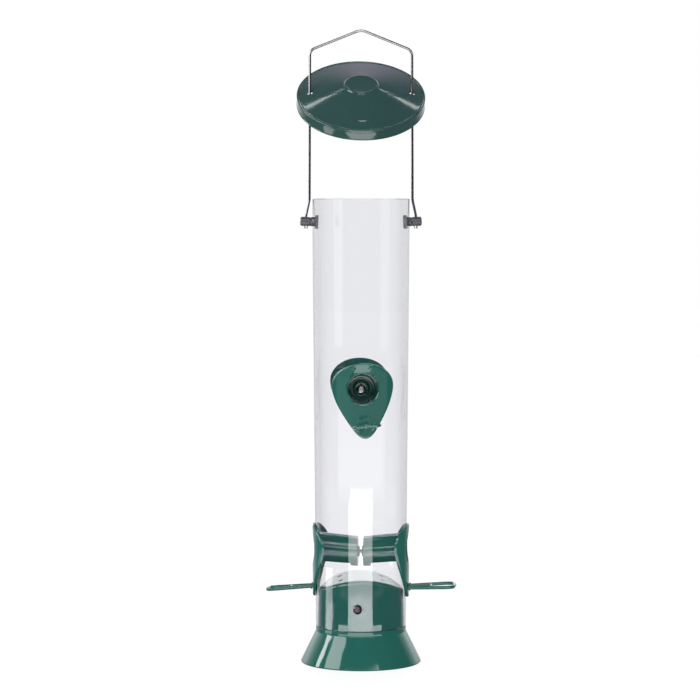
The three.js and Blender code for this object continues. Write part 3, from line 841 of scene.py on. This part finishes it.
def make_perch(port):
    """Cast loop with a cross-bar and a small collar where each leg enters the shield."""
    across, root_z = root_place(port)
    face_r = face_radius(root_z)
    inset = face_r - math.sqrt(face_r ** 2 - PERCH_ROOT ** 2)

    def half_width(y):
        return PERCH_ROOT + (PERCH_WIDE - PERCH_ROOT) * (y / (0.8 * PERCH_REACH)) ** 0.8

    side = [(PERCH_ROOT, inset + 1.3), (PERCH_ROOT, inset + 0.4)]
    side += [(half_width(s * PERCH_REACH), -s * PERCH_REACH) for s in (0.06, 0.2, 0.35, 0.5, 0.65)]
    side += [(PERCH_WIDE, -0.8 * PERCH_REACH), (PERCH_WIDE * 0.86, -0.92 * PERCH_REACH)]
    side += [(PERCH_WIDE * 0.5, -PERCH_REACH + PERCH_ROD * 1.4)]
    loop = [*side, (0, -PERCH_REACH + PERCH_ROD), *[(-x, y) for x, y in reversed(side)]]
    path = curve_through([(x, y, 0) for x, y in loop], 7)
    perch = piece(f"perch_{port['name']}_fine", *sweep(path, PERCH_ROD, 20))
    bar = half_width(PERCH_BAR)
    boolean(perch, rod(PERCH_ROD * 0.8, (-bar, -PERCH_BAR, 0), (bar, -PERCH_BAR, 0), 18), "UNION")
    high = inset * 0.5 - PERCH_CLEAR - COLLAR_R * math.sin(math.radians(abs(port["lift"])))
    for x in (-PERCH_ROOT, PERCH_ROOT):
        boolean(perch, rod(COLLAR_R, (x, high - COLLAR_H, 0), (x, high, 0), 28), "UNION")
    bevelled(perch, 0.2, 2, 40)
    place = Matrix.Rotation(math.radians(port["azimuth"]), 4, "Z")
    place = place @ Matrix.Translation(Vector((across, -face_r, root_z)) * MM)
    perch.data.transform(place @ perch_turn(port))
    smoothed(perch, math.radians(40))
    placed(perch, GREEN, "root", "green_paint", f"perch_{port['name']}")


# ---- bail, pegs and lid -------------------------------------------------------------------------

WIRE_R = 0.95
PEG_WIRE_X = bail_high.x - WIRE_R
BAIL_SHOULDER_Z = TUBE_TOP_Z + 109.3
BAIL_PEAK_Z = TUBE_TOP_Z + 124.4
PEG_WALL_X = TUBE_TOP_R - TUBE_WALL / 2
PEG_DROOP = math.radians(2.5)
FLANGE_R = 5.1
FLANGE_T = 2.7
GROOVE = 0.3


def make_bail():
    """One bent wire: flattened ends under the pegs, an outward set, long legs and a peaked roof."""
    half = [
        (PEG_WIRE_X, bail_low.z + 0.3, 0), (PEG_WIRE_X, PEG_Z + 4.6, 14),
        (LEG_X + 0.25, TUBE_TOP_Z - 0.8, 20), (LEG_X - 0.2, BAIL_SHOULDER_Z, 5.5),
    ]
    corners = [*half, (0, BAIL_PEAK_Z, 10), *[(-x, z, radius) for x, z, radius in reversed(half)]]
    path = [(x, 0, z) for x, z in filleted(corners, 10)]
    bail = piece("bail_wire_fine", *sweep(path, WIRE_R, 20))
    for vertex in bail.data.vertices:
        below = (PEG_Z - PEG_R) - vertex.co.z / MM
        if below > 0:
            share = step_between(0, 1.2, below)
            side = math.copysign(PEG_WIRE_X * MM, vertex.co.x)
            vertex.co.x = side + (vertex.co.x - side) * (1 + 0.35 * share)
            vertex.co.y *= 1 - 0.35 * share
    smoothed(bail, math.radians(50))
    placed(bail, WIRE, "bail", "bail_steel", "bail_wire")


def make_pegs():
    """Moulded pivot pegs: flange inside the tube, one shallow groove, chamfered end, wire hole."""
    flange_x, end_x = peg_low.x, peg_high.x
    shoulder = flange_x + FLANGE_T
    groove_r = PEG_R - GROOVE
    profile = filleted([
        (0, flange_x, 0), (FLANGE_R, flange_x, 0.5), (FLANGE_R, shoulder, 0.4), (PEG_R, shoulder, 0.2),
        (PEG_R, PEG_WIRE_X - 3.6, 0), (groove_r, PEG_WIRE_X - 3.2, 0), (groove_r, PEG_WIRE_X - 2.8, 0),
        (PEG_R, PEG_WIRE_X - 2.4, 0), (PEG_R, end_x - 0.8, 0.3), (PEG_R - 0.7, end_x, 0.3), (0, end_x, 0),
    ], 4)
    for name, turn in (("right", 0), ("left", math.pi)):
        wall = Matrix.Translation((PEG_WALL_X, 0, 0))
        droop = wall @ Matrix.Rotation(PEG_DROOP, 4, "Y").inverted() @ wall.inverted()
        place = Matrix.Translation((0, 0, PEG_Z)) @ Matrix.Rotation(turn, 4, "Z") @ droop
        lie = place @ Matrix.Rotation(math.radians(90), 4, "Y")
        peg = clean_lathe(f"pivot_peg_{name}_fine", profile, 48, place=lie)
        x = PEG_WIRE_X if name == "right" else -PEG_WIRE_X
        boolean(peg, rod(WIRE_R + 0.2, (x, 0, PEG_Z - 6), (x, 0, PEG_Z + 6), 24))
        bevelled(peg, 0.12, 2, 50)
        smoothed(peg)
        placed(peg, GREY, "bail", "grey_plastic", f"pivot_peg_{name}")


LID_R = TUBE_TOP_R + 11.5
LID_RIM = 7.7
LID_RISE = 9.6
LID_WALL = 1.25
BOSS_R = 12.85
BOSS_H = 1.2
LID_SLOPE = LID_RISE / (LID_R - BOSS_R)
LID_HOLE_X = LEG_X - 0.25
LID_HOLE_R = 2.2
CONE_RINGS = 72
DIMPLE_R = 9.4
DIMPLE_EDGE = 1.8
DIMPLE_Y = -29.0
DIMPLE_DEPTH = 0.3


def lid_top(radius):
    """Height of the lid's cone at a radius, above its lower edge."""
    return LID_RIM + (LID_R - radius) * LID_SLOPE


def make_lid():
    """Spun lid: rolled rim with a bead, shallow cone, raised flat boss, two wire holes, one dimple."""
    axis_z = lid_top(LID_HOLE_X) - LID_WALL / 2
    boss_z = lid_top(BOSS_R) + BOSS_H
    inside = LID_R - LID_WALL
    outer = filleted([
        (0, boss_z, 0), (BOSS_R - 1.0, boss_z, 1.6), (BOSS_R + 0.3, lid_top(BOSS_R + 0.3), 1.0),
        (LID_R - 2.0, lid_top(LID_R - 2.0), 0.8), (LID_R - 1.5, LID_RIM + 0.95, 0.5),
        (LID_R, LID_RIM + 0.7, 0.8), (LID_R, LID_RIM - 1.0, 0.3), (LID_R - 0.25, LID_RIM - 1.4, 0.3),
        (LID_R - 0.25, 1.0, 0.3), (LID_R, 0.6, 0.25), (LID_R, 0, 0.3), (inside, 0, 0),
    ], 6)
    cone_from, cone_to = BOSS_R + 2, LID_R - 4
    cone = [cone_from + (cone_to - cone_from) * k / CONE_RINGS for k in range(CONE_RINGS + 1)]
    split = next(i for i, (radius, z) in enumerate(outer) if radius > cone_from)
    outer[split:split] = [(radius, lid_top(radius)) for radius in cone]
    inner = filleted([
        (inside, 0, 0), (inside, lid_top(inside) - LID_WALL, 1.0),
        (BOSS_R - 1, lid_top(BOSS_R - 1) - LID_WALL, 1.0), (BOSS_R - 2, boss_z - LID_WALL, 0.6),
        (0, boss_z - LID_WALL, 0),
    ], 5)
    lid = clean_lathe("lid_fine", outer + inner[1:], 192)
    for side in (-1, 1):
        x = side * LID_HOLE_X
        boolean(lid, rod(LID_HOLE_R, (x, 0, axis_z - 4), (x, 0, axis_z + 4), 40))
    bevelled(lid, 0.15, 2, 55)
    for vertex in lid.data.vertices:
        x, y, z = vertex.co / MM
        away = math.hypot(x, y - DIMPLE_Y)
        if z > 0.5 * LID_RIM:
            vertex.co.z -= DIMPLE_DEPTH * MM * (1 - step_between(DIMPLE_R - DIMPLE_EDGE, DIMPLE_R, away))
    place = Matrix.Translation((0, 0, LID_AXIS_Z * MM)) @ Matrix.Rotation(LID_TILT, 4, "X")
    lid.data.transform(place @ Matrix.Translation((0, 0, -axis_z * MM)))
    smoothed(lid)
    placed(lid, LID_GREEN, "lid", "lid_paint", "lid", "lid_guide_right", "lid_guide_left")


# ---- stage and light, in metres -----------------------------------------------------------------

UNDER_TABLE = -0.002
CARD_STEPS = 12
WINDOW_STEPS = 20


def make_floor():
    """White table. Gloss on the feeder looks past it, to the cards and the sky."""
    mesh = bpy.data.meshes.new("floor")
    size = 6.0
    corners = [(-size, -size, 0), (size, -size, 0), (size, size, 0), (-size, size, 0)]
    mesh.from_pydata(corners, [], [(0, 1, 2, 3)])
    floor = bpy.data.objects.new("floor", mesh)
    bpy.context.scene.collection.objects.link(floor)
    material = bpy.data.materials.new("white_table")
    n = Nodes(material)
    shader = n.add("ShaderNodeBsdfPrincipled", {
        "Roughness": 0.6, "Specular IOR Level": 0.1, "Emission Color": (1, 1, 1, 1),
        "Emission Strength": 0.84})
    n.join(n.tinted(n.noise(3), "Fac", (0.16, 0.16, 0.16), (0.18, 0.18, 0.18)), "Color", shader, "Base Color")
    clear = n.add("ShaderNodeBsdfTransparent")
    path = n.add("ShaderNodeLightPath")
    pick = n.add("ShaderNodeMixShader")
    n.join(path, "Glossy Depth", pick, 0)
    n.join(shader, "BSDF", pick, 1)
    n.join(clear, "BSDF", pick, 2)
    n.join(pick, "Shader", n.out, "Surface")
    mesh.materials.append(material)


def make_card(name, rows, strength):
    """A glowing card from rows of points. Only gloss sees it, and rays bent by the clear tube."""
    mesh = bpy.data.meshes.new(name)
    points, faces = grid(rows)
    mesh.from_pydata(points, [], faces)
    card = bpy.data.objects.new(name, mesh)
    bpy.context.scene.collection.objects.link(card)
    material = bpy.data.materials.new(name)
    n = Nodes(material)
    glow = n.add("ShaderNodeEmission", {"Color": (1, 1, 1, 1), "Strength": strength})
    n.join(glow, "Emission", n.out, "Surface")
    mesh.materials.append(material)
    card.visible_camera = False
    card.visible_diffuse = False
    card.visible_shadow = False


def grid(rows):
    """Points and faces between equal rows of points."""
    points = [point for row in rows for point in row]
    width = len(rows[0])
    faces = []
    for i in range(len(rows) - 1):
        for k in range(width - 1):
            here = i * width + k
            faces.append((here, here + 1, here + width + 1, here + width))
    return points, faces


def spread(low_turn, high_turn):
    """Even turns between two turns from the front in degrees, positive to the right."""
    return [math.radians(low_turn + (high_turn - low_turn) * k / CARD_STEPS) for k in range(CARD_STEPS + 1)]


def wedge(low_turn, high_turn, near, far):
    """Rows of a flat card just under the table's top, between two turns and two distances."""
    turns = spread(low_turn, high_turn)
    return [[radial(turn, near, UNDER_TABLE), radial(turn, far, UNDER_TABLE)] for turn in turns]


def window(low_turn, high_turn, low_z, high_z, distance=1.4, ragged=0.0):
    """Rows of an upright curved card between two turns and two heights, its sides a little ragged."""
    rows = []
    for i in range(WINDOW_STEPS + 1):
        share = i / WINDOW_STEPS
        low = low_turn + ragged * (math.sin(9.1 * share) + 0.6 * math.sin(23.7 * share + 1))
        high = high_turn + ragged * (math.sin(11.3 * share + 2) + 0.6 * math.sin(27.1 * share))
        z = low_z + (high_z - low_z) * share
        rows.append([radial(turn, distance, z) for turn in spread(low, high)])
    return rows


def strip_over(x, y, z, turn, length, width):
    """Rows of a level strip, its long side at a turn from the X axis."""
    along = Vector((math.cos(math.radians(turn)), math.sin(math.radians(turn)), 0)) * length / 2
    across = Vector((-along.y, along.x, 0)).normalized() * width / 2
    middle = Vector((x, y, z))
    return [[middle - along - across, middle + along - across],
            [middle - along + across, middle + along + across]]


def make_light(name, place, size, power):
    """A white softbox aimed at the feeder, which gloss doesn't see."""
    target = Vector((0, 0, 0.2))
    light = bpy.data.lights.new(name, "AREA")
    light.shape = "RECTANGLE"
    light.size, light.size_y = size
    light.energy = power
    obj = bpy.data.objects.new(name, light)
    bpy.context.scene.collection.objects.link(obj)
    obj.location = place
    obj.rotation_euler = (target - Vector(place)).to_track_quat("-Z", "Y").to_euler()
    obj.visible_camera = False
    obj.visible_glossy = False


def make_world():
    """White to the eye and through the clear tube; to gloss, bright low behind and dim elsewhere."""
    world = bpy.data.worlds.new("studio")
    bpy.context.scene.world = world
    n = Nodes(world, "ShaderNodeOutputWorld")
    place = n.add("ShaderNodeTexCoord")
    split = n.add("ShaderNodeSeparateXYZ")
    n.join(place, "Generated", split, 0)
    turned_back = n.add("ShaderNodeMath", {1: 0.6}, operation="MULTIPLY_ADD")
    n.join(split, "Z", turned_back, 0)
    n.join(split, "Y", turned_back, 2)
    behind = n.add("ShaderNodeMapRange", {1: 0.4, 2: 0.9, 3: 0.0, 4: 1.0}, interpolation_type="SMOOTHSTEP")
    n.join(turned_back, 0, behind, 0)
    rise = n.add("ShaderNodeMapRange", {1: -1.0, 2: 1.0, 3: 0.0, 4: 1.0})
    n.join(split, "Z", rise, 0)
    sky = n.add("ShaderNodeValToRGB")
    stops = sky.color_ramp.elements
    stops[0].position, stops[0].color = 0.50, (0.52, 0.52, 0.54, 1)
    stops[1].position, stops[1].color = 0.95, (0.05, 0.05, 0.06, 1)
    for position, colour in ((0.55, (1, 1, 1, 1)), (0.66, (0.9, 0.9, 0.95, 1)), (0.8, (0.36, 0.28, 0.38, 1))):
        stops.new(position).color = colour
    n.join(rise, 0, sky, 0)
    bright = n.add("ShaderNodeMixRGB", {0: 1.0, 2: (1.4, 1.4, 1.4, 1)}, blend_type="MULTIPLY")
    n.join(sky, 0, bright, 1)
    gloss = n.add("ShaderNodeMixRGB", {1: (0.08, 0.08, 0.10, 1)})
    n.join(behind, 0, gloss, 0)
    n.join(bright, 0, gloss, 2)
    path = n.add("ShaderNodeLightPath")
    pick = n.add("ShaderNodeMixRGB", {1: (1.0, 1.0, 1.0, 1)})
    n.join(path, "Glossy Depth", pick, 0)
    n.join(gloss, 0, pick, 2)
    dim = n.add("ShaderNodeMixRGB", {2: (0.62, 0.62, 0.63, 1)})
    n.join(path, "Is Diffuse Ray", dim, 0)
    n.join(pick, 0, dim, 1)
    back = n.add("ShaderNodeBackground", {"Strength": 1.0})
    n.join(dim, 0, back, "Color")
    n.join(back, 0, n.out, "Surface")


def make_lights():
    """Three softboxes that light the feeder, and the cards that its gloss and the tube show."""
    make_light("key_left", (-1.3, -1.0, 0.9), (0.9, 1.2), 13)
    make_light("fill_right", (1.4, -0.9, 0.7), (0.8, 1.2), 3)
    make_light("top_rear", (0.2, 1.2, 1.6), (1.2, 0.8), 6)
    make_card("card_table_near", wedge(-58, 48, 0.1, 0.235), 3.4)
    make_card("card_table_front", wedge(-33.6, 26.2, 0.235, 1.1), 3.4)
    make_card("card_table_far", wedge(-60, 60, 1.1, 3.0), 0.6)
    make_card("card_table_left", wedge(-100, -77, 0.2, 0.55), 2.6)
    make_card("card_channel", window(-34, 34, 0.57, 0.82), 4.5)
    make_card("card_hoods", window(-16, 16, 1.1, 1.9, 1.2), 5.0)
    make_card("card_left_pale", window(-81, -46, 0.5, 1.5, ragged=2.5), 5.0)
    make_card("card_left_bright", window(-103, -89, 0.35, 1.2, ragged=3.0), 9.0)
    make_card("card_over_right", strip_over(0.576, 0.413, 1.9, 140, 0.5, 0.065), 5.5)
    make_card("card_over_left", strip_over(-0.445, 0.363, 1.9, 40, 0.5, 0.065), 5.5)
    make_card("card_over_middle", strip_over(0, 0.36, 1.9, 0, 0.6, 0.14), 6.0)


# ---- the whole scene ----------------------------------------------------------------------------

make_camera()
make_world()
make_lights()
make_floor()
make_tube()
make_base()
make_screws_and_nuts()
for port in PORTS:
    make_port(port)
    make_perch(port)
make_bail()
make_pegs()
make_lid()

view = bpy.context.scene.view_settings
view.view_transform = "Standard"
